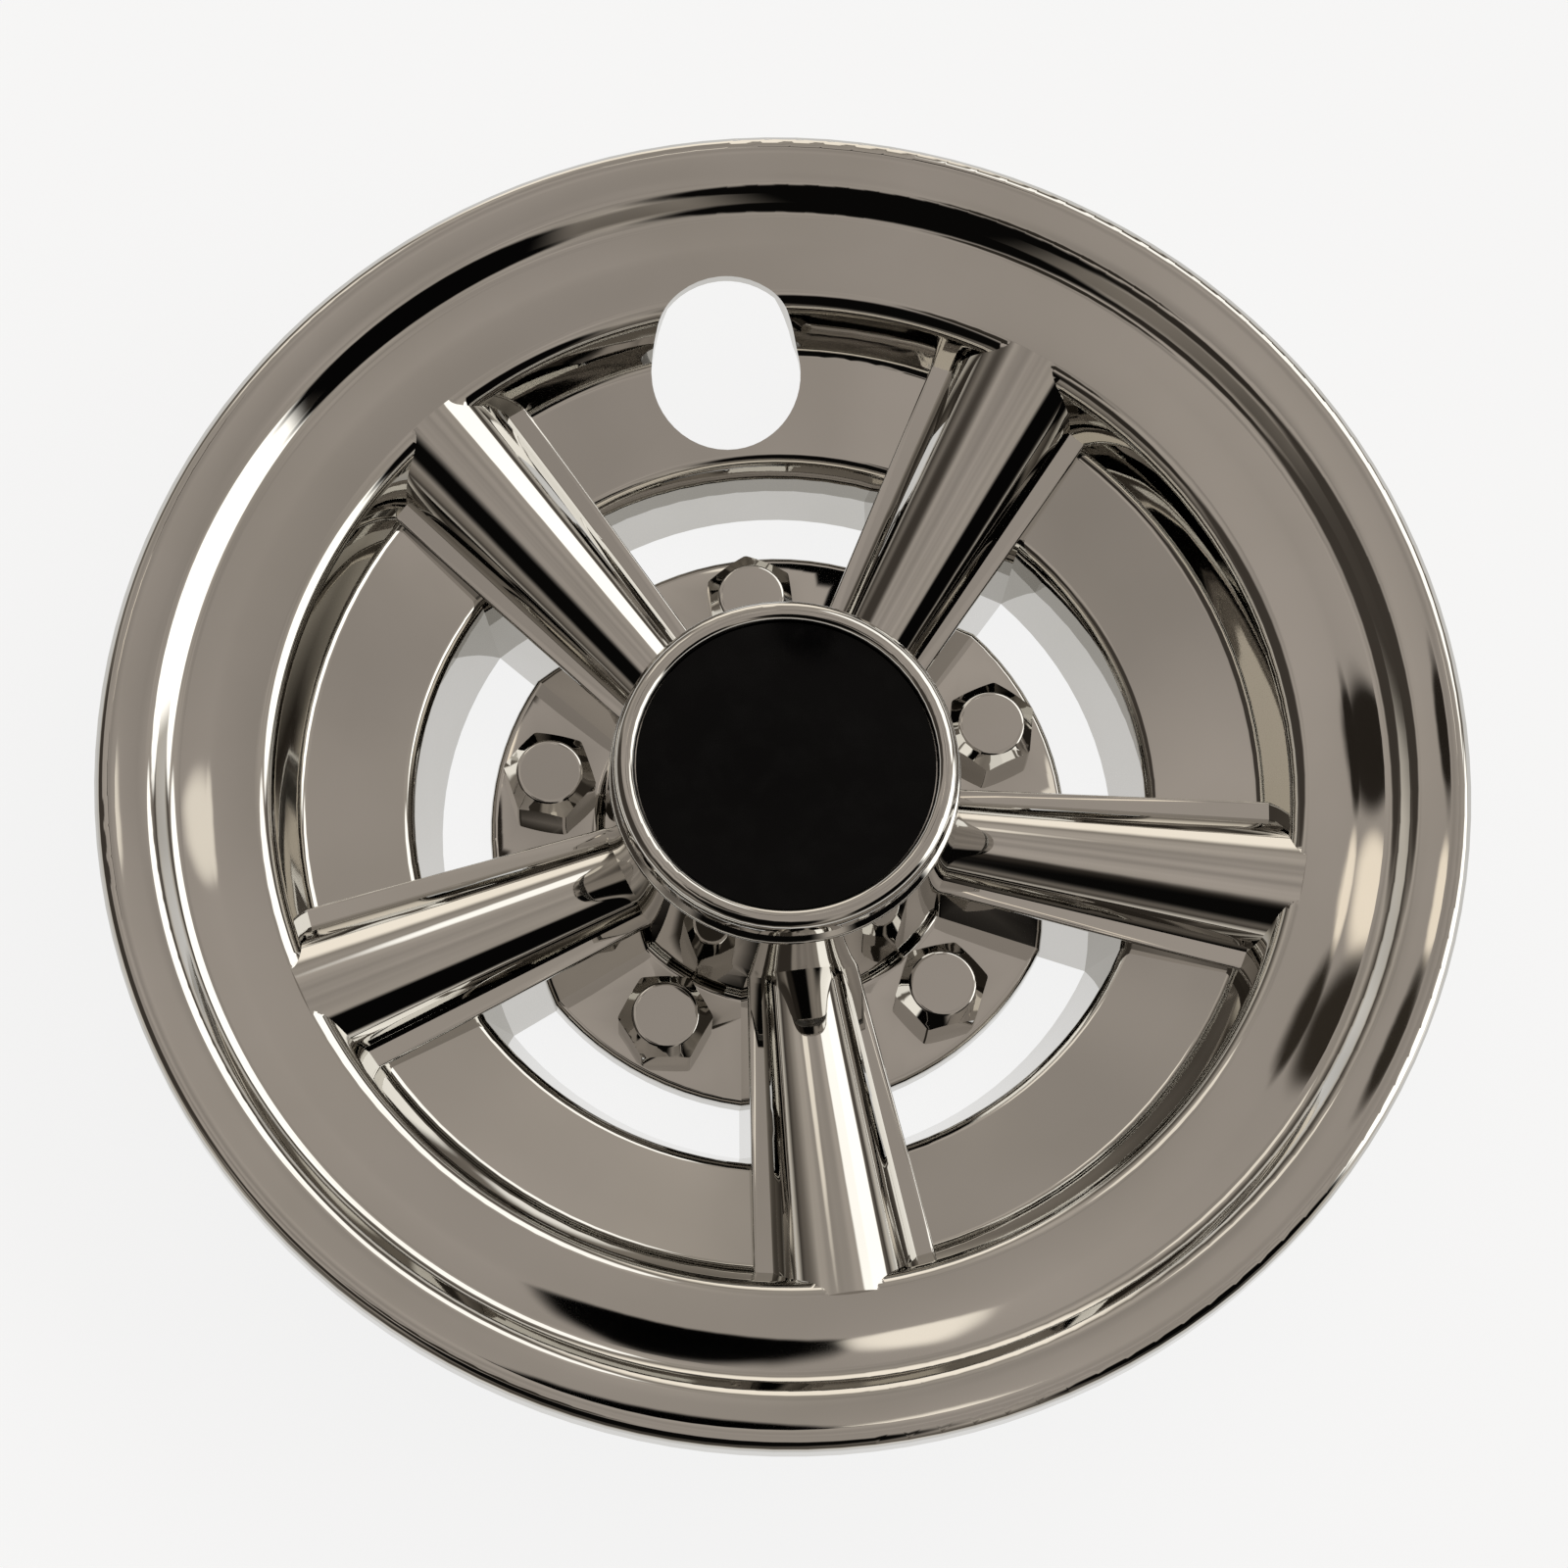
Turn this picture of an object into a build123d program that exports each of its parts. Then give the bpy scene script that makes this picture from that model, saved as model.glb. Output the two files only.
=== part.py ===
from build123d import *
import os
from math import radians, sin, tan

# Driving dimensions in millimetres. Z is the wheel axis, the front faces +Z
# and Z = 0 is the plane on which the cover lies when it is put down on its back.
WALL = 2.2
SPOKES = 5
FIRST_SPOKE = -90
PITCH = 360 / SPOKES

# Outer ring, from the slot edge outwards: radius, height, corner radius
RING_FRONT = [
    (59.5, 0.0, 0.0),
    (64.3, 17.3, 2.8),
    (83.6, 21.8, 2.4),
    (88.2, 33.2, 4.5),
    (96.5, 34.55, 140.0),
    (104.7, 35.6, 4.5),
    (107.9, 38.9, 4.0),
    (112.2, 39.65, 90.0),
    (116.2, 40.2, 2.4),
    (117.5, 38.7, 0.8),
]
RIM_BACK = 34.5

# Hub, from the emblem seat outwards: radius, height, corner radius
HUB_FRONT = [
    (25.8, 39.2, 0.0),
    (25.8, 42.5, 1.4),
    (29.6, 42.5, 2.2),
    (29.6, 38.2, 0.5),
    (28.7, 37.5, 0.4),
    (28.7, 36.7, 0.4),
    (30.2, 35.7, 0.8),
    (31.4, 4.0, 1.5),
    (51.0, 4.0, 1.3),
]
HUB_BACK = [(26.3, 36.8), (29.0, 1.8), (48.8, 1.8)]

# Spokes: a tapered half-round on a flat-railed channel, given at two radii
SPOKE_AT = (20.0, 92.0)
RAIL_HEIGHT = (14.2, 25.4)
RAIL_HALF = (8.6, 16.4)
ROUND_HALF = (6.4, 12.9)
ROUND_RISE = 0.69
SPOKE_DRAFT = 4
RAIL_EDGE = 0.6

# Imitation lug nuts on the hub disc
LUG_CIRCLE_R = 41.3
LUG_FLATS = 14.5
LUG_TOP = 11.2
LUG_FACE_R = 5.6
LUG_SLOPE = 0.8
LUG_CORNER_R = 0.8
LUG_EDGE_R = 1.2

VALVE_R = 13.3
VALVE_CIRCLE_R = 80.0
VALVE_ANGLE = 90

EMBLEM_R = 25.6
EMBLEM_EDGE = 41.0
EMBLEM_CROWN = 41.7

# Retaining legs on the back and the spring wire ring in their grooves
LEGS = 2 * SPOKES
FIRST_LEG = FIRST_SPOKE + PITCH / 4
LEG_ANGLE = 7.0
LEG_R = (96.3, 99.6)
LEG_Z = (13.0, 33.4)
LEG_EDGE_R = 0.5
BARB_R = 101.4
BARB_Z = (16.5, 19.0)
WIRE_RING_R = 96.3
WIRE_R = 1.5
WIRE_Z = 20.5
WIRE_GAP = 29.0

# Ends of cutting shapes, well outside the cover
BELOW = -5.0
ABOVE = 60.0
OUTSIDE = 130.0


def rounded(corners, plane=Plane.XZ):
    """Closed face through corners (x, y, radius), each rounded by its radius."""
    joints = []
    for i, (x, y, radius) in enumerate(corners):
        here = Vector(x, y)
        back = (Vector(*corners[i - 1][:2]) - here).normalized()
        ahead = (Vector(*corners[(i + 1) % len(corners)][:2]) - here).normalized()
        if radius == 0:
            joints.append((here, None, here))
            continue
        half = radians(back.get_angle(ahead) / 2)
        trim = radius / tan(half)
        middle = here + (back + ahead).normalized() * (radius / sin(half) - radius)
        joints.append((here + back * trim, middle, here + ahead * trim))
    edges = []
    for (start, middle, end), following in zip(joints, joints[1:] + joints[:1]):
        if middle:
            edges.append(ThreePointArc(start, middle, end))
        edges.append(Line(end, following[0]))
    return plane * make_face(edges)


def inset(corners, depth):
    """Corner points of an open path moved by depth to its right-hand side."""
    points = [Vector(c[0], c[1]) for c in corners]
    normals = []
    for a, b in zip(points, points[1:]):
        run = (b - a).normalized()
        normals.append(Vector(run.Y, -run.X))
    moved = [points[0] + normals[0] * depth]
    for point, n1, n2 in zip(points[1:], normals, normals[1:]):
        moved.append(point + (n1 + n2) * (depth / (1 + n1.dot(n2))))
    moved.append(points[-1] + normals[-1] * depth)
    return moved


def around(shape, count, first):
    """The shape, drawn along +X, repeated about the wheel axis."""
    return [Rot(0, 0, first + 360 / count * i) * shape for i in range(count)]


def channel(wall):
    """The flat-railed channel under a spoke along +X, or its hollow."""
    ends = []
    low = BELOW if wall else 0
    for radius, rail, half in zip(SPOKE_AT, RAIL_HEIGHT, RAIL_HALF):
        top = rail - wall
        foot = half - wall + (rail - low) * tan(radians(SPOKE_DRAFT))
        corners = [(foot, low), (half - wall, top), (wall - half, top), (-foot, low)]
        ends.append(Plane.YZ.offset(radius) * make_face(Polyline(corners, close=True)))
    body = loft(ends, ruled=True)
    if wall:
        return body
    rails = body.edges().filter_by(lambda e: e.length > SPOKE_AT[1] - SPOKE_AT[0]).group_by(Axis.Z)[-1]
    return fillet(rails, RAIL_EDGE)


def trumpet(wall):
    """The tapered round of a spoke along +X, or its hollow."""
    points = []
    radii = []
    for radius, rail, half in zip(SPOKE_AT, RAIL_HEIGHT, ROUND_HALF):
        round_r = half * (1 + ROUND_RISE**2) / (2 * ROUND_RISE)
        points.append(Vector(radius, 0, rail + half * ROUND_RISE - round_r))
        radii.append(round_r - wall)
    axis = points[1] - points[0]
    bottom = Align.CENTER, Align.CENTER, Align.MIN
    return Plane(origin=points[0], z_dir=axis) * Cone(radii[0], radii[1], axis.length, align=bottom)


def lug(wall):
    """One chamfered hexagon standing on the hub disc, or its hollow."""
    flats = LUG_FLATS - 2 * wall
    low = BELOW if wall else 0
    top = LUG_TOP - wall
    prism = Pos(0, 0, low) * extrude(RegularPolygon(flats / 2, 6, major_radius=False), top - low)
    if wall:
        return Pos(LUG_CIRCLE_R, 0, 0) * prism
    prism = fillet(prism.edges().filter_by(Axis.Z), LUG_CORNER_R)
    reach = LUG_FLATS
    crown = [
        (0, 0, 0),
        (reach, 0, 0),
        (reach, top - (reach - LUG_FACE_R) * LUG_SLOPE, 0),
        (LUG_FACE_R, top, LUG_EDGE_R),
        (0, top, 0),
    ]
    return Pos(LUG_CIRCLE_R, 0, 0) * (prism & revolve(rounded(crown), Axis.Z))


def leg():
    """One snap leg along +X, with its barb outside and the wire groove inside."""
    profile = [
        (LEG_R[0], LEG_Z[0], LEG_EDGE_R),
        (LEG_R[1], LEG_Z[0], LEG_EDGE_R),
        (BARB_R, BARB_Z[0], LEG_EDGE_R),
        (LEG_R[1], BARB_Z[1], LEG_EDGE_R),
        (LEG_R[1], LEG_Z[1], 0),
        (LEG_R[0], LEG_Z[1], 0),
    ]
    strip = revolve(rounded(profile), Axis.Z, LEG_ANGLE)
    return Rot(0, 0, -LEG_ANGLE / 2) * strip - Pos(0, 0, WIRE_Z) * Torus(WIRE_RING_R, WIRE_R)


# Front skin volumes: everything behind the visible surface
ring_end = (RING_FRONT[-1][0], RIM_BACK, 0)
ring_face = rounded(RING_FRONT + [ring_end, (RING_FRONT[-1][0], 0, 0)])
hub_face = rounded([(0, 0, 0), (0, HUB_FRONT[0][1], 0)] + HUB_FRONT + [(HUB_FRONT[-1][0], 0, 0)])
front = revolve(ring_face, Axis.Z) + revolve(hub_face, Axis.Z)
front += around(channel(0), SPOKES, FIRST_SPOKE)
front += around(trumpet(0), SPOKES, FIRST_SPOKE)
front += around(lug(0), SPOKES, FIRST_SPOKE + PITCH / 2)

# The same volumes one wall thickness further in, open at the back
ring_in = inset(RING_FRONT + [ring_end], WALL)
ring_hollow = [(p.X, p.Y, 0) for p in ring_in]
ring_hollow += [(OUTSIDE, RIM_BACK, 0), (OUTSIDE, BELOW, 0), (ring_in[0].X, BELOW, 0)]
hub_hollow = [(0, BELOW, 0), (0, HUB_BACK[0][1], 0)]
hub_hollow += [(r, z, 0) for r, z in HUB_BACK] + [(HUB_BACK[-1][0], BELOW, 0)]
hollow = revolve(rounded(ring_hollow), Axis.Z) + revolve(rounded(hub_hollow), Axis.Z)
hollow += around(channel(WALL), SPOKES, FIRST_SPOKE)
hollow += around(trumpet(WALL), SPOKES, FIRST_SPOKE)
hollow += around(lug(WALL), SPOKES, FIRST_SPOKE + PITCH / 2)

valve_hole = Rot(0, 0, VALVE_ANGLE) * Pos(VALVE_CIRCLE_R, 0, 0) * Cylinder(VALVE_R, 2 * ABOVE)
cover = front - hollow - valve_hole
cover += around(leg(), LEGS, FIRST_LEG)

# The black centre disc, slightly domed, on the seat inside the bezel
seat = HUB_FRONT[0][1]
sag = EMBLEM_CROWN - EMBLEM_EDGE
dome_r = (EMBLEM_R**2 + sag**2) / (2 * sag)
disc = Pos(0, 0, seat) * extrude(Circle(EMBLEM_R), ABOVE)
emblem = disc & Pos(0, 0, EMBLEM_CROWN - dome_r) * Sphere(dome_r)

# The wire ring is open beside the valve hole
wire_section = Plane.XZ * Pos(WIRE_RING_R, WIRE_Z) * Circle(WIRE_R)
wire_ring = revolve(wire_section, Axis.Z, 360 - WIRE_GAP)
wire_ring = Rot(0, 0, VALVE_ANGLE + WIRE_GAP / 2) * wire_ring

os.makedirs("parts", exist_ok=True)
export_step(cover, "parts/wheel_cover.step")
export_step(emblem, "parts/centre_disc.step")
export_step(wire_ring, "parts/retaining_wire.step")
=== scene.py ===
# %% [markdown]
# # A chrome wheel cover for a golf cart
#
# The cover is one thin plastic moulding with a bright chrome plate on it. A black disc sits in its hub
# and a spring wire runs behind it. The shapes come from the CAD model, which is loaded here as a fixed
# frame in metres, with the wheel axis along Z and the front facing up.

# %% Load the solids
from math import cos, radians, sin

import bpy
import numpy as np
from mathutils import Matrix, Vector


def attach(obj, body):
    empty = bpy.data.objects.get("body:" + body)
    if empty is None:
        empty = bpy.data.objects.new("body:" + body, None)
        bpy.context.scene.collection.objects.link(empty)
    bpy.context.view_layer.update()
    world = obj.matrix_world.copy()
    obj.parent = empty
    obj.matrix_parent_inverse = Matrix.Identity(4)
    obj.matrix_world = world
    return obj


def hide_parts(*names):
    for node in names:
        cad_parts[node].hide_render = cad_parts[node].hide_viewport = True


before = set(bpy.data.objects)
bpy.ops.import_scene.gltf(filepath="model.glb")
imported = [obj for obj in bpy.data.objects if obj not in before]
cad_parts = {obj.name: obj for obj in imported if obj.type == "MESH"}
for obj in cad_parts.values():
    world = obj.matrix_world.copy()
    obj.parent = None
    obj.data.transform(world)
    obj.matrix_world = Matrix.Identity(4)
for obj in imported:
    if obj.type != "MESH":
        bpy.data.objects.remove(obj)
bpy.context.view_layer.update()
print("solids:", sorted(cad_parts))

# %% [markdown]
# ## Helpers for every finish
#
# Colours are written as the sRGB hex values that a paint card or a colour picker gives. A shader works
# with linear light, so one function turns them over. A second one adds a node, sets its values and
# links its inputs in one go, which keeps the materials below short enough to read.

# %% Colours and nodes


def linear(hex_colour):
    """The linear RGBA of an sRGB hex value such as "#C8C6C2"."""
    channels = [int(hex_colour[i : i + 2], 16) / 255 for i in (1, 3, 5)]
    return [c / 12.92 if c <= 0.04045 else ((c + 0.055) / 1.055) ** 2.4 for c in channels] + [1.0]


def add(tree, kind, links=None, values=None, **settings):
    """A new node: settings are its own properties, values its socket numbers, links its inputs."""
    node = tree.nodes.new(kind)
    for name, setting in settings.items():
        setattr(node, name, setting)
    for socket, value in (values or {}).items():
        node.inputs[socket].default_value = value
    for socket, source in (links or {}).items():
        tree.links.new(source, node.inputs[socket])
    return node


def per_mm(size_mm):
    """Texture scale at which one cell of a pattern is size_mm wide, for coordinates in metres."""
    return 1000 / size_mm


print("chrome grey in linear light:", [round(c, 3) for c in linear("#C8C6C2")])

# %% [markdown]
# ## How a finish is laid on
#
# All four finishes of the cover work alike. One pattern picks between two tones and two values of
# roughness, so that no face is the same all over, and a pattern of relief gives a bump. What differs is
# the pattern itself, so each finish below makes its own and hands it to one function.

# %% Lay a finish
NOISE_SPAN = (0.3, 0.7)


def material(name):
    """An empty material and its node tree."""
    made = bpy.data.materials.new(name)
    made.use_nodes = True
    made.node_tree.nodes.clear()
    return made, made.node_tree


def lay_finish(tree, pattern, tones, gloss, relief, deep_m, body):
    """Two (position, tone) stops and two roughnesses over a pattern, and a bump over a relief."""
    tint = add(tree, "ShaderNodeValToRGB", {"Fac": pattern})
    for stop, (position, tone) in zip(tint.color_ramp.elements, tones):
        stop.position = position
        stop.color = linear(tone)
    spans = {"From Min": NOISE_SPAN[0], "From Max": NOISE_SPAN[1], "To Min": gloss[0], "To Max": gloss[1]}
    shine = add(tree, "ShaderNodeMapRange", {"Value": pattern}, spans)
    bump = add(tree, "ShaderNodeBump", {"Height": relief}, {"Distance": deep_m})
    skin = add(
        tree,
        "ShaderNodeBsdfPrincipled",
        {
            "Base Color": tint.outputs["Color"],
            "Roughness": shine.outputs["Result"],
            "Normal": bump.outputs["Normal"],
        },
        body,
    )
    add(tree, "ShaderNodeOutputMaterial", {"Surface": skin.outputs["BSDF"]})


print("a noise stays mostly within", NOISE_SPAN)

# %% [markdown]
# ## Chrome plate on moulded ABS
#
# The cover is ABS that was moulded, etched and plated with copper, nickel and a last thin chrome. The
# plate copies the moulding: a true mirror close up, with slow waves where the plastic shrank. It is a
# metal with little roughness. One noise gives the waves, 24 mm wide and a few hundredths of a millimetre
# deep, and a broader one the faint haze that wiping leaves. Bright edges need no paint, because the
# light draws them.

# %% Chrome plate
CHROME_GREY = "#C8C6C2"
HAZE_GREY = "#C3C1BC"
WAVE_MM = 24
WAVE_DEEP_M = 0.00005
HAZE_MM = 40

chrome, tree = material("chrome_plated_abs")
place = add(tree, "ShaderNodeTexCoord").outputs["Object"]
waves = add(tree, "ShaderNodeTexNoise", {"Vector": place}, {"Scale": per_mm(WAVE_MM), "Detail": 1.0})
haze = add(tree, "ShaderNodeTexNoise", {"Vector": place}, {"Scale": per_mm(HAZE_MM), "Detail": 4.0})
lay_finish(
    tree,
    haze.outputs["Fac"],
    [(0.35, HAZE_GREY), (0.6, CHROME_GREY)],
    (0.015, 0.03),
    waves.outputs["Fac"],
    WAVE_DEEP_M,
    {"Metallic": 1.0},
)
print(chrome.name, "waves", WAVE_MM, "mm wide")

# %% [markdown]
# ## The dull back of the moulding, with painted shade
#
# Only the half of the mould that makes the front is polished. The other half keeps the fine pits of its
# spark erosion, so the plate behind is satin. Its darker tones are partly that dull finish and partly
# painted shade, which stands for the shadow under the cover that the floor seen in the chrome lacks. The
# pits are about 0.1 mm wide on a real back, too fine to show, and are drawn 0.6 mm wide. They drive the
# tint, the roughness and a small bump.

# %% Satin back with painted shade
# Both satin tones are darker than the plate's own metal: painted shade for the shadow under the cover.
SATIN_SHADED_LIGHT = "#908E8A"
SATIN_SHADED_DARK = "#7A7875"
PIT_MM = 0.6
PIT_DEEP_M = 0.00002

satin_and_painted_shade, tree = material("satin_chrome_with_painted_shade")
place = add(tree, "ShaderNodeTexCoord").outputs["Object"]
pits = add(tree, "ShaderNodeTexNoise", {"Vector": place}, {"Scale": per_mm(PIT_MM), "Detail": 3.0})
lay_finish(
    tree,
    pits.outputs["Fac"],
    [(0.35, SATIN_SHADED_DARK), (0.65, SATIN_SHADED_LIGHT)],
    (0.28, 0.4),
    pits.outputs["Fac"],
    PIT_DEEP_M,
    {"Metallic": 1.0},
)
print(satin_and_painted_shade.name, "pits", PIT_MM, "mm")

# %% [markdown]
# ## Black acrylic for the centre disc
#
# The disc in the hub is a cast acrylic button, black all through and polished on its low dome. Acrylic
# has an IOR of 1.49. The bright room would turn a full polish grey, so its shine is turned down. Faint
# wipe marks change its gloss: a noise drives the roughness and a very small bump.

# %% Black acrylic
ACRYLIC_BLACK = "#050506"
ACRYLIC_WORN = "#0C0C0D"
WIPE_MM = 5
WIPE_DEEP_M = 0.000003

acrylic, tree = material("polished_black_acrylic")
place = add(tree, "ShaderNodeTexCoord").outputs["Object"]
wipe = add(tree, "ShaderNodeTexNoise", {"Vector": place}, {"Scale": per_mm(WIPE_MM), "Detail": 5.0})
lay_finish(
    tree,
    wipe.outputs["Fac"],
    [(0.45, ACRYLIC_BLACK), (0.75, ACRYLIC_WORN)],
    (0.06, 0.14),
    wipe.outputs["Fac"],
    WIPE_DEEP_M,
    {"IOR": 1.49, "Specular IOR Level": 0.1},
)
print(acrylic.name, "wipe marks", WIPE_MM, "mm")

# %% [markdown]
# ## Drawn spring steel for the wire behind
#
# Spring wire is pulled through a die, which leaves fine lines along its length. The wire is a ring round
# the wheel axis, so a point's distance from the axis and its height stay the same along such a line. A
# noise over these two numbers therefore draws the lines. Real ones are a few hundredths of a millimetre
# apart and can't show, so they are drawn 0.25 mm apart.

# %% Spring steel
STEEL_BRIGHT = "#A6A5A3"
STEEL_DULL = "#6F6E6D"
LINE_MM = 0.25
LINE_DEEP_M = 0.00001

steel, tree = material("drawn_spring_steel")
place = add(tree, "ShaderNodeTexCoord").outputs["Object"]
parts = add(tree, "ShaderNodeSeparateXYZ", {"Vector": place})
flat = add(tree, "ShaderNodeCombineXYZ", {"X": parts.outputs["X"], "Y": parts.outputs["Y"]})
reach = add(tree, "ShaderNodeVectorMath", {0: flat.outputs["Vector"]}, operation="LENGTH")
along = add(tree, "ShaderNodeCombineXYZ", {"X": reach.outputs["Value"], "Y": parts.outputs["Z"]})
drawn = {"Scale": per_mm(LINE_MM), "Detail": 3.0}
lines = add(tree, "ShaderNodeTexNoise", {"Vector": along.outputs["Vector"]}, drawn)
lay_finish(
    tree,
    lines.outputs["Fac"],
    [(0.35, STEEL_DULL), (0.62, STEEL_BRIGHT)],
    (0.24, 0.36),
    lines.outputs["Fac"],
    LINE_DEEP_M,
    {"Metallic": 1.0},
)
print(steel.name, "lines", LINE_MM, "mm apart")

# %% [markdown]
# ## Joined faces and real corners
#
# A solid arrives as flat triangles, and each face of it brings its own shading. A mirror shows every
# seam between them. The faces could be rebuilt by hand, but the shape is already right, so modifiers do
# it without touching the mesh: Weld joins the faces, Edge Split keeps the real corners, and Weighted
# Normal lets the large faces stay flat while the small rounded edges take up the turn.

# %% Dress the solids
FINISHES = {"wheel_cover": chrome, "centre_disc": acrylic, "retaining_wire": steel}
WELD_M = 0.000002
CORNER_DEG = 34

for name, finish in FINISHES.items():
    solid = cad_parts[name]
    solid.data.materials.clear()
    solid.data.materials.append(finish)
    weld = solid.modifiers.new("join_faces", "WELD")
    weld.merge_threshold = WELD_M
    corners = solid.modifiers.new("keep_corners", "EDGE_SPLIT")
    corners.split_angle = radians(CORNER_DEG)
    smooth = solid.modifiers.new("even_shading", "WEIGHTED_NORMAL")
    smooth.mode = "FACE_AREA_WITH_ANGLE"
    smooth.keep_sharp = True
    print(name, len(solid.data.polygons), "triangles,", finish.name)

# %% [markdown]
# ## A copy of the cover to shade
#
# Triangles only come near to a round face, and chrome shows the rest as dashes and streaks. The cure is
# to leave every point where it is and to set the shading direction at each corner of each triangle. The
# solid itself stays as it is, so this is done on a copy of its joined mesh.

# %% Copy the joined mesh
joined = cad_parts["wheel_cover"].evaluated_get(bpy.context.evaluated_depsgraph_get())
plated = bpy.data.meshes.new_from_object(joined)
points = np.array([plated.vertices[loop.vertex_index].co for loop in plated.loops])
normals = np.array([corner.vector for corner in plated.corner_normals])
print("corners to shade:", len(points))

# %% [markdown]
# ## One shading all the way round
#
# The rim, the band and the dish are turned shapes: at one radius and height their slope is the same all
# round. So the directions of all corners on one circle are averaged in a frame that turns with them.
# Two faces can meet on a circle, and a jump in slope tells them apart. The spokes and lug nuts aren't
# turned about the wheel axis: their circles hold few corners, and those are left as they are.

# %% Even out the turned faces
CIRCLE_STEP_M = 0.00001
SIDEWAYS_MOST = 0.75
SLOPE_GAP_DEG = 12
CORNERS_LEAST = 100


def turned_normals(points, normals):
    """The corner normals, averaged over the corners that share a circle about Z and a slope."""
    radius = np.hypot(points[:, 0], points[:, 1])
    away = points[:, :2] / np.maximum(radius, CIRCLE_STEP_M)[:, None]
    outward = (normals[:, :2] * away).sum(axis=1)
    sideways = normals[:, 1] * away[:, 0] - normals[:, 0] * away[:, 1]
    slope = np.degrees(np.arctan2(outward, normals[:, 2]))
    circle = np.round(np.stack([radius, points[:, 2]], axis=1) / CIRCLE_STEP_M)

    turned = np.flatnonzero(abs(sideways) < SIDEWAYS_MOST)
    turned = turned[np.lexsort((slope[turned], circle[turned, 1], circle[turned, 0]))]
    new_circle = np.diff(circle[turned], axis=0).any(axis=1)
    new_slope = np.diff(slope[turned]) > SLOPE_GAP_DEG
    group = np.concatenate([[0], np.cumsum(new_circle | new_slope)])
    count = np.bincount(group)
    flat = np.bincount(group, outward[turned]) / count
    up = np.bincount(group, normals[turned, 2]) / count

    whole = count[group] >= CORNERS_LEAST
    corners = turned[whole]
    evened = normals.copy()
    evened[corners, :2] = away[corners] * flat[group[whole]][:, None]
    evened[corners, 2] = up[group[whole]]
    print("corners on turned faces:", len(corners), "of", len(normals))
    return evened / np.linalg.norm(evened, axis=1)[:, None]


normals = turned_normals(points, normals)

# %% [markdown]
# ## The rounds of the spokes
#
# The round of a spoke is a slice of a cone that widens outwards, and long thin triangles draw streaks
# on it. More triangles would only make the streaks finer. The direction square to a cone is known at
# every point, from the way out of its axis and from how fast it widens. So each face that lies on such
# a cone gets it at its corners. The cone's axis and size follow from the sizes of the spoke.

# %% Shade the spokes as cones
SPOKES = 5
FIRST_SPOKE_DEG = -90
SPOKE_AT_M = np.array([0.020, 0.092])
RAIL_HEIGHT_M = np.array([0.0142, 0.0254])
ROUND_HALF_M = np.array([0.0064, 0.0129])
ROUND_RISE = 0.69
ON_CONE_M = 0.00001
FACE_LEAN_DEG = 25


def cone_normals(points, faces, normals):
    """The corner normals, set square to the cone where a whole face lies on the round of a spoke."""
    radii = ROUND_HALF_M * (1 + ROUND_RISE**2) / (2 * ROUND_RISE)
    heights = RAIL_HEIGHT_M + ROUND_HALF_M * ROUND_RISE - radii
    start, end = np.stack([SPOKE_AT_M, np.zeros(2), heights], axis=1)
    length = np.linalg.norm(end - start)
    axis = (end - start) / length
    widening = (radii[1] - radii[0]) / length

    shaded = normals.copy()
    for number in range(SPOKES):
        turn = np.array(Matrix.Rotation(radians(FIRST_SPOKE_DEG + 360 / SPOKES * number), 3, "Z"))
        local = points @ turn - start
        along = local @ axis
        out = local - along[:, None] * axis
        reach = np.maximum(np.linalg.norm(out, axis=1), ON_CONE_M)
        square = out / reach[:, None] - axis * widening
        square = square @ turn.T / np.hypot(1, widening)
        touching = abs(reach - radii[0] - along * widening) < ON_CONE_M
        facing = (square * faces).sum(axis=1) > cos(radians(FACE_LEAN_DEG))
        whole = np.repeat((touching & facing).reshape(-1, 3).all(axis=1), 3)
        shaded[whole] = square[whole]
        print("spoke", number + 1, "faces on its cone:", whole.sum() // 3)
    return shaded


faces = np.repeat([face.normal for face in plated.polygons], 3, axis=0)
normals = cone_normals(points, faces, normals)

# %% [markdown]
# ## The plated cover
#
# Blender keeps shading directions of one's own as custom normals on the mesh. With them set, the copy
# takes the place of the plain solid and goes wherever that goes.

# %% Put the plated cover in place
plated.normals_split_custom_set(normals)
cover = bpy.data.objects.new("plated_cover", plated)
bpy.context.scene.collection.objects.link(cover)
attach(cover, "root")
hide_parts("wheel_cover")
print(cover.name, len(plated.polygons), "faces")

# %% [markdown]
# ## Front and back of the plate
#
# The satin finish, darkened as painted shade, goes on every face that looks down, and on the snap legs,
# which stand upright under the band, where the cover's shadow would fall. A face's own direction and
# place are enough to tell, so no face is picked by hand.

# %% Lay the satin and its painted shade on the back
FACING_DOWN = -0.02
LEG_ZONE_M = (0.094, 0.103)
LEG_TOP_M = 0.033

# The darker satin on the faces below and on the legs is painted shade for the shadow under the cover.
plated.materials.append(satin_and_painted_shade)
behind = 0
for face in plated.polygons:
    on_legs = LEG_ZONE_M[0] < face.center.xy.length < LEG_ZONE_M[1] and face.center.z < LEG_TOP_M
    if face.normal.z < FACING_DOWN or on_legs:
        face.material_index = 1
        behind += 1
print("satin faces:", behind)

# %% [markdown]
# ## A white floor that keeps the shadow
#
# The cover lies on a pale floor. To the camera and in the chrome the floor is mostly its own white, and
# the rest of it takes light as card does, so the shadow under the rim stays. Light Path tells the two
# kinds of ray apart, so no extra light falls on the cover. From below the floor is clear, so that the
# back of the cover can be looked at. It lies 0.2 mm under the cover, so no two faces share a plane.

# %% Floor finish
FLOOR_WHITE = "#F2F1EF"
FLOOR_OWN_WHITE = 0.86

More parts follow.
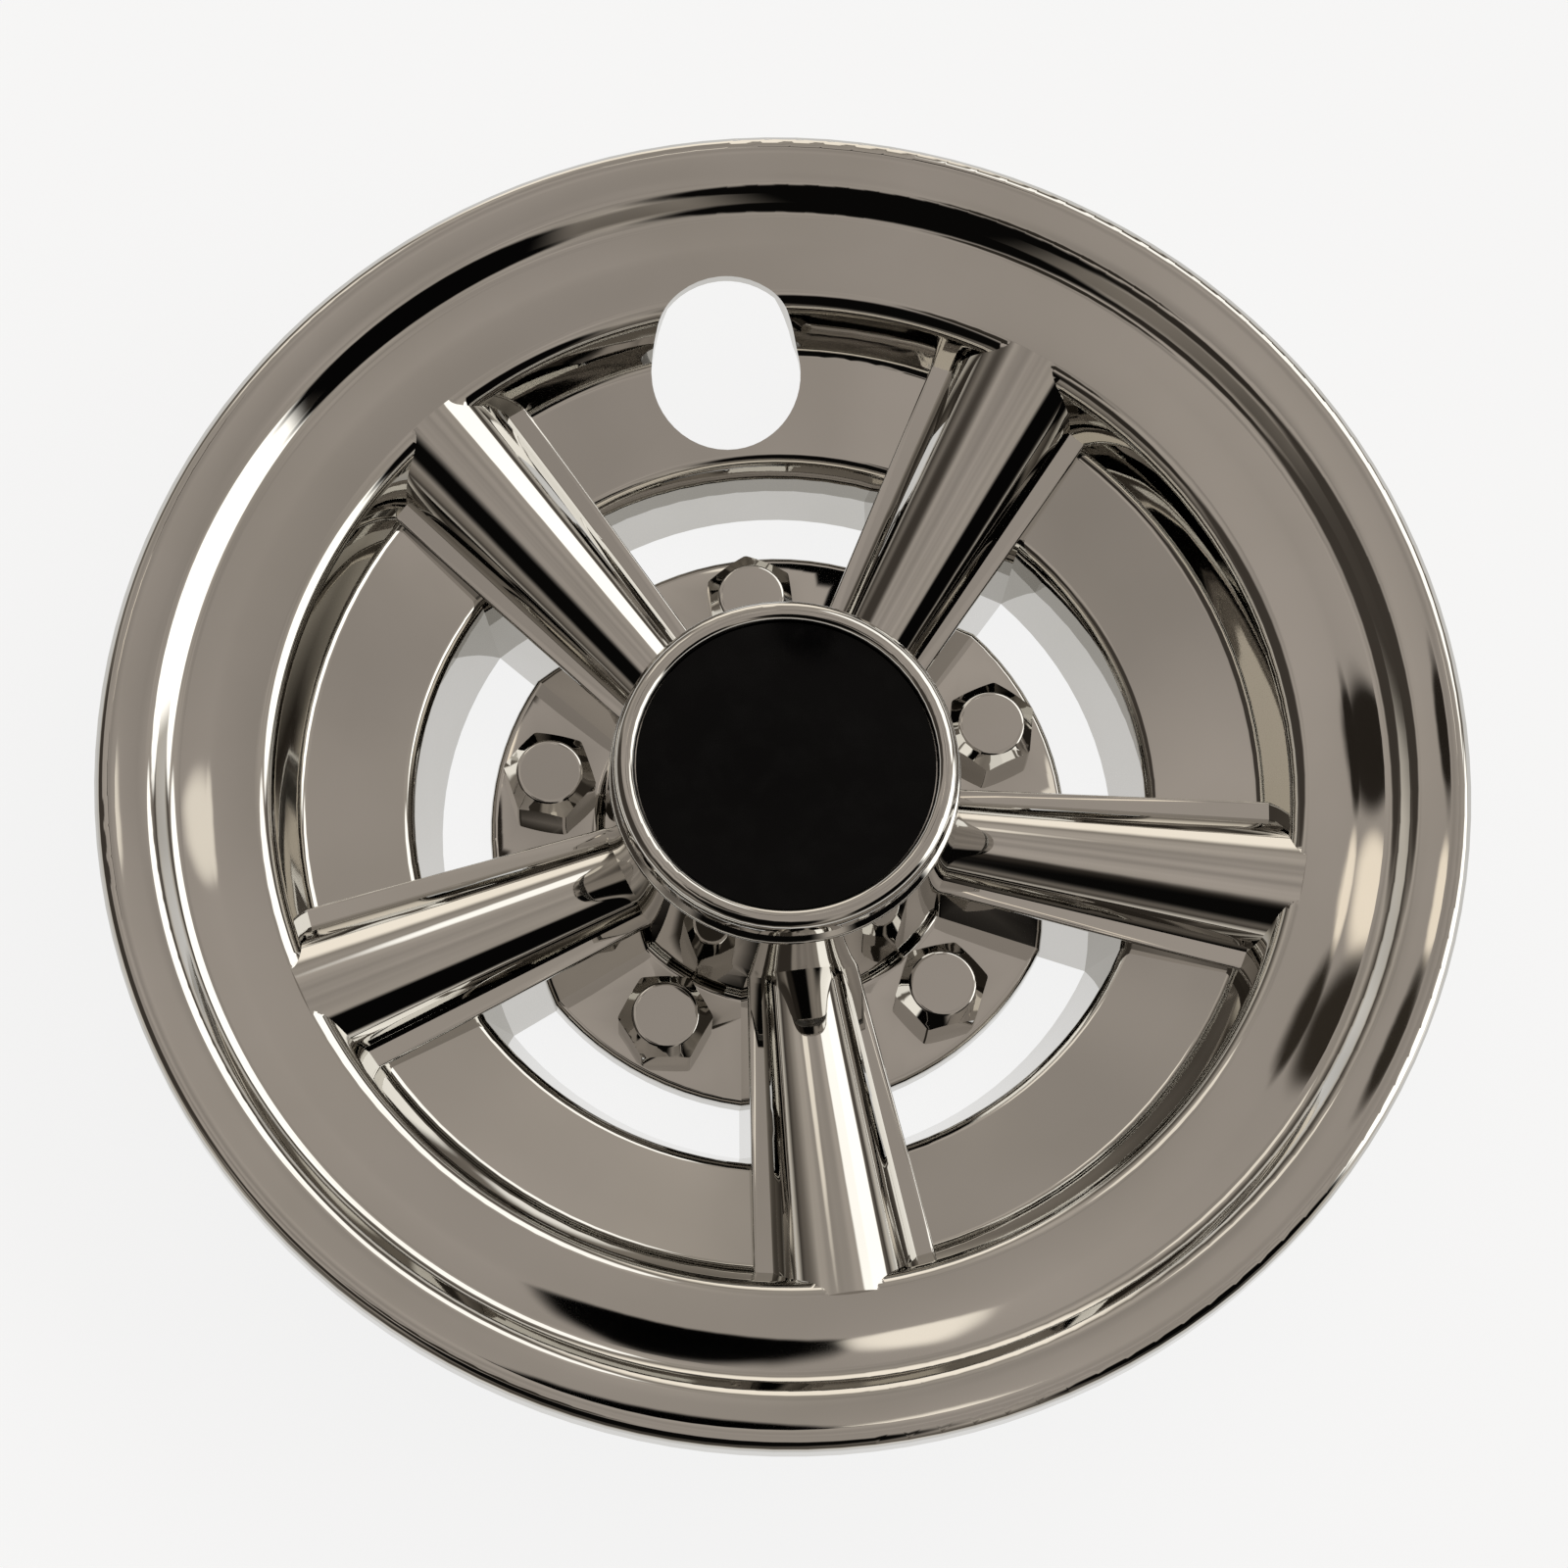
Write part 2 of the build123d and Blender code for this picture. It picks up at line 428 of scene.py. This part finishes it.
floor_finish, tree = material("white_floor")
path = add(tree, "ShaderNodeLightPath")
seen = path.outputs["Is Camera Ray"]
for kind in ("Is Glossy Ray", "Is Transmission Ray"):
    either = add(tree, "ShaderNodeMath", {0: seen, 1: path.outputs[kind]}, operation="MAXIMUM")
    seen = either.outputs["Value"]
share = add(tree, "ShaderNodeMath", {0: seen}, {1: FLOOR_OWN_WHITE}, operation="MULTIPLY")
card = add(tree, "ShaderNodeBsdfDiffuse", values={"Color": linear(FLOOR_WHITE)})
glow = add(tree, "ShaderNodeEmission", values={"Strength": 1.0})
mixed = add(
    tree,
    "ShaderNodeMixShader",
    {"Fac": share.outputs["Value"], 1: card.outputs["BSDF"], 2: glow.outputs["Emission"]},
)
side = add(tree, "ShaderNodeNewGeometry")
clear = add(tree, "ShaderNodeBsdfTransparent")
shown = add(
    tree,
    "ShaderNodeMixShader",
    {"Fac": side.outputs["Backfacing"], 1: mixed.outputs["Shader"], 2: clear.outputs["BSDF"]},
)
add(tree, "ShaderNodeOutputMaterial", {"Surface": shown.outputs["Shader"]})
print(floor_finish.name, "own white", FLOOR_OWN_WHITE)

# %% Floor
FLOOR_SIZE_M = 8.0
FLOOR_GAP_M = 0.0002

half = FLOOR_SIZE_M / 2
sheet = bpy.data.meshes.new("floor")
sheet.from_pydata([(-half, -half, 0), (half, -half, 0), (half, half, 0), (-half, half, 0)], [], [range(4)])
sheet.materials.append(floor_finish)
floor = bpy.data.objects.new("floor", sheet)
bpy.context.scene.collection.objects.link(floor)
floor.location.z = -FLOOR_GAP_M
print("floor", FLOOR_SIZE_M, "m wide")

# %% [markdown]
# ## The room that the chrome shows
#
# Chrome has no look of its own: it shows the room. A photograph of a room could be wrapped round the
# scene, but a few tones are enough. The first part is a ramp over height: pale near the floor, a dark
# line above it, walls that grow lighter, and a warm grey ceiling, which is what the flat faces show. A
# noise with cells about 14 degrees wide makes it uneven, because no real room is lit alike all over.

# %% Walls and ceiling
ROOM_TONES = [
    (0.00, "#FFFFFF"),
    (0.16, "#DDD6CB"),
    (0.26, "#4C4640"),
    (0.42, "#8C847B"),
    (0.60, "#C2B9AF"),
    (0.80, "#BDB4AB"),
    (1.00, "#B8AFA7"),
]
UNEVEN_CELLS = 4.0
UNEVEN_LEVEL = (0.78, 1.18)

world = bpy.data.worlds.new("grey_room")
bpy.context.scene.world = world
world.use_nodes = True
tree = world.node_tree
tree.nodes.clear()
way = add(tree, "ShaderNodeTexCoord").outputs["Generated"]
parts = add(tree, "ShaderNodeSeparateXYZ", {"Vector": way})
walls = add(tree, "ShaderNodeValToRGB", {"Fac": parts.outputs["Z"]})
ramp = walls.color_ramp
ramp.elements.remove(ramp.elements[1])
ramp.elements[0].position = ROOM_TONES[0][0]
ramp.elements[0].color = linear(ROOM_TONES[0][1])
for height, tone in ROOM_TONES[1:]:
    ramp.elements.new(height).color = linear(tone)
uneven = add(tree, "ShaderNodeTexNoise", {"Vector": way}, {"Scale": UNEVEN_CELLS, "Detail": 1.0})
level = add(
    tree,
    "ShaderNodeMapRange",
    {"Value": uneven.outputs["Fac"]},
    {
        "From Min": NOISE_SPAN[0],
        "From Max": NOISE_SPAN[1],
        "To Min": UNEVEN_LEVEL[0],
        "To Max": UNEVEN_LEVEL[1],
    },
)
lit = add(
    tree,
    "ShaderNodeVectorMath",
    {0: walls.outputs["Color"], 1: level.outputs["Result"]},
    operation="MULTIPLY",
)
print("room tones:", len(ramp.elements))

# %% [markdown]
# ## Soft lights and dark corners
#
# The streaks on chrome are pictures of bright and dark things round it. A large window stands to the
# right, a low light behind, and the room is dark on the viewer's side and on the left. Each is a soft
# round patch on the sky: the angle between a direction and the middle of the patch gives its edge.

# %% Patches of light and dark
PATCHES = {
    # azimuth from +X, elevation, half width, soft edge in degrees, tone, strength
    "window": (352, 24, 20, 2, "#FFFDF8", 2.3),
    "window_middle": (37, 37, 16, 1, "#FFFDF8", 2.0),
    "window_end": (60, 38, 10, 1, "#FFFDF8", 1.8),
    "pale_door_behind": (110, 44, 6, 1, "#FFF6E8", 1.3),
    "low_light_behind": (86, 8, 18, 5, "#FFF6E8", 1.5),
    "dark_wall_left": (168, 36, 22, 4, "#4A443E", 1.0),
    "dark_front_left": (207, 46, 12, 3, "#38332E", 1.0),
    "dark_front": (251, 43, 24, 4, "#0E0D0C", 1.0),
    "dark_front_right": (314, 28, 18, 3, "#0A0909", 1.0),
    "dark_ceiling_left": (215, 73, 7, 1.5, "#3A352F", 1.0),
    "dark_lamp_behind": (75.5, 64.3, 2.0, 0.3, "#030303", 1.0),
    "pale_lamp_behind": (82, 64.3, 0.9, 0.3, "#FFF6E8", 1.4),
    "dark_lamp_left": (105, 72, 1.2, 0.3, "#2E2924", 1.0),
    "pale_lamp_left": (102, 69.5, 0.9, 0.3, "#FFF2DF", 1.4),
    "dark_shade_left": (99, 67.5, 1.2, 0.4, "#3A342D", 1.0),
    "pale_lamp_right": (54, 69, 0.8, 0.3, "#FFF6E8", 1.2),
}


def direction(azimuth, elevation):
    """The unit vector at an azimuth from +X and an elevation, in degrees."""
    flat = cos(radians(elevation))
    return Vector((flat * cos(radians(azimuth)), flat * sin(radians(azimuth)), sin(radians(elevation))))


tone_here = lit.outputs["Vector"]
for azimuth, elevation, half, soft, tone, strength in PATCHES.values():
    middle = direction(azimuth, elevation)
    near = add(tree, "ShaderNodeVectorMath", {0: way}, {1: middle}, operation="DOT_PRODUCT")
    inside = add(
        tree,
        "ShaderNodeMapRange",
        {"Value": near.outputs["Value"]},
        {"From Min": cos(radians(half + soft)), "From Max": cos(radians(half - soft))},
        interpolation_type="SMOOTHSTEP",
    )
    laid = add(tree, "ShaderNodeMix", {0: inside.outputs["Result"], 6: tone_here}, data_type="RGBA")
    laid.inputs[7].default_value = [c * strength for c in linear(tone)]
    tone_here = laid.outputs[2]
print("patches on the sky:", ", ".join(PATCHES))

# %% [markdown]
# ## White behind the floor
#
# Where the camera looks past the floor it sees plain white, so the picture has one pale ground. The
# chrome still shows the room, because its rays aren't camera rays.

# %% Room and ground together
room = add(tree, "ShaderNodeBackground", {"Color": tone_here})
white = add(tree, "ShaderNodeBackground", values={"Color": linear("#FFFFFF")})
path = add(tree, "ShaderNodeLightPath")
both = add(
    tree,
    "ShaderNodeMixShader",
    {"Fac": path.outputs["Is Camera Ray"], 1: room.outputs["Background"], 2: white.outputs["Background"]},
)
add(tree, "ShaderNodeOutputWorld", {"Surface": both.outputs["Shader"]})
print(world.name, "nodes:", len(tree.nodes))

# %% [markdown]
# ## The camera
#
# The cover is seen nearly face on: the line of sight leans 17.5 degrees from the wheel axis, and the
# valve hole is turned a little to the left of the top. A long lens from 0.9 m keeps the circles nearly
# parallel. The picture is rolled a little, as a hand-held one is.

# %% Camera
AZIMUTH = -103.5
ELEVATION = 72.5
DISTANCE_M = 0.9
ROLL = 6.6
RIM_CENTRE = Vector((0, 0, 0.03))
LENS_MM = 120
SENSOR_MM = 36

sight = direction(AZIMUTH, ELEVATION)
lens = bpy.data.cameras.new("photo_camera")
lens.lens = LENS_MM
lens.sensor_width = SENSOR_MM
camera = bpy.data.objects.new("photo_camera", lens)
bpy.context.scene.collection.objects.link(camera)
turned = sight.to_track_quat("Z", "Y").to_matrix().to_4x4() @ Matrix.Rotation(radians(ROLL), 4, "Z")
camera.matrix_world = Matrix.Translation(RIM_CENTRE + sight * DISTANCE_M) @ turned
bpy.context.scene.camera = camera
bpy.context.scene.view_settings.view_transform = "Standard"
print("camera at", [round(v, 3) for v in camera.location])
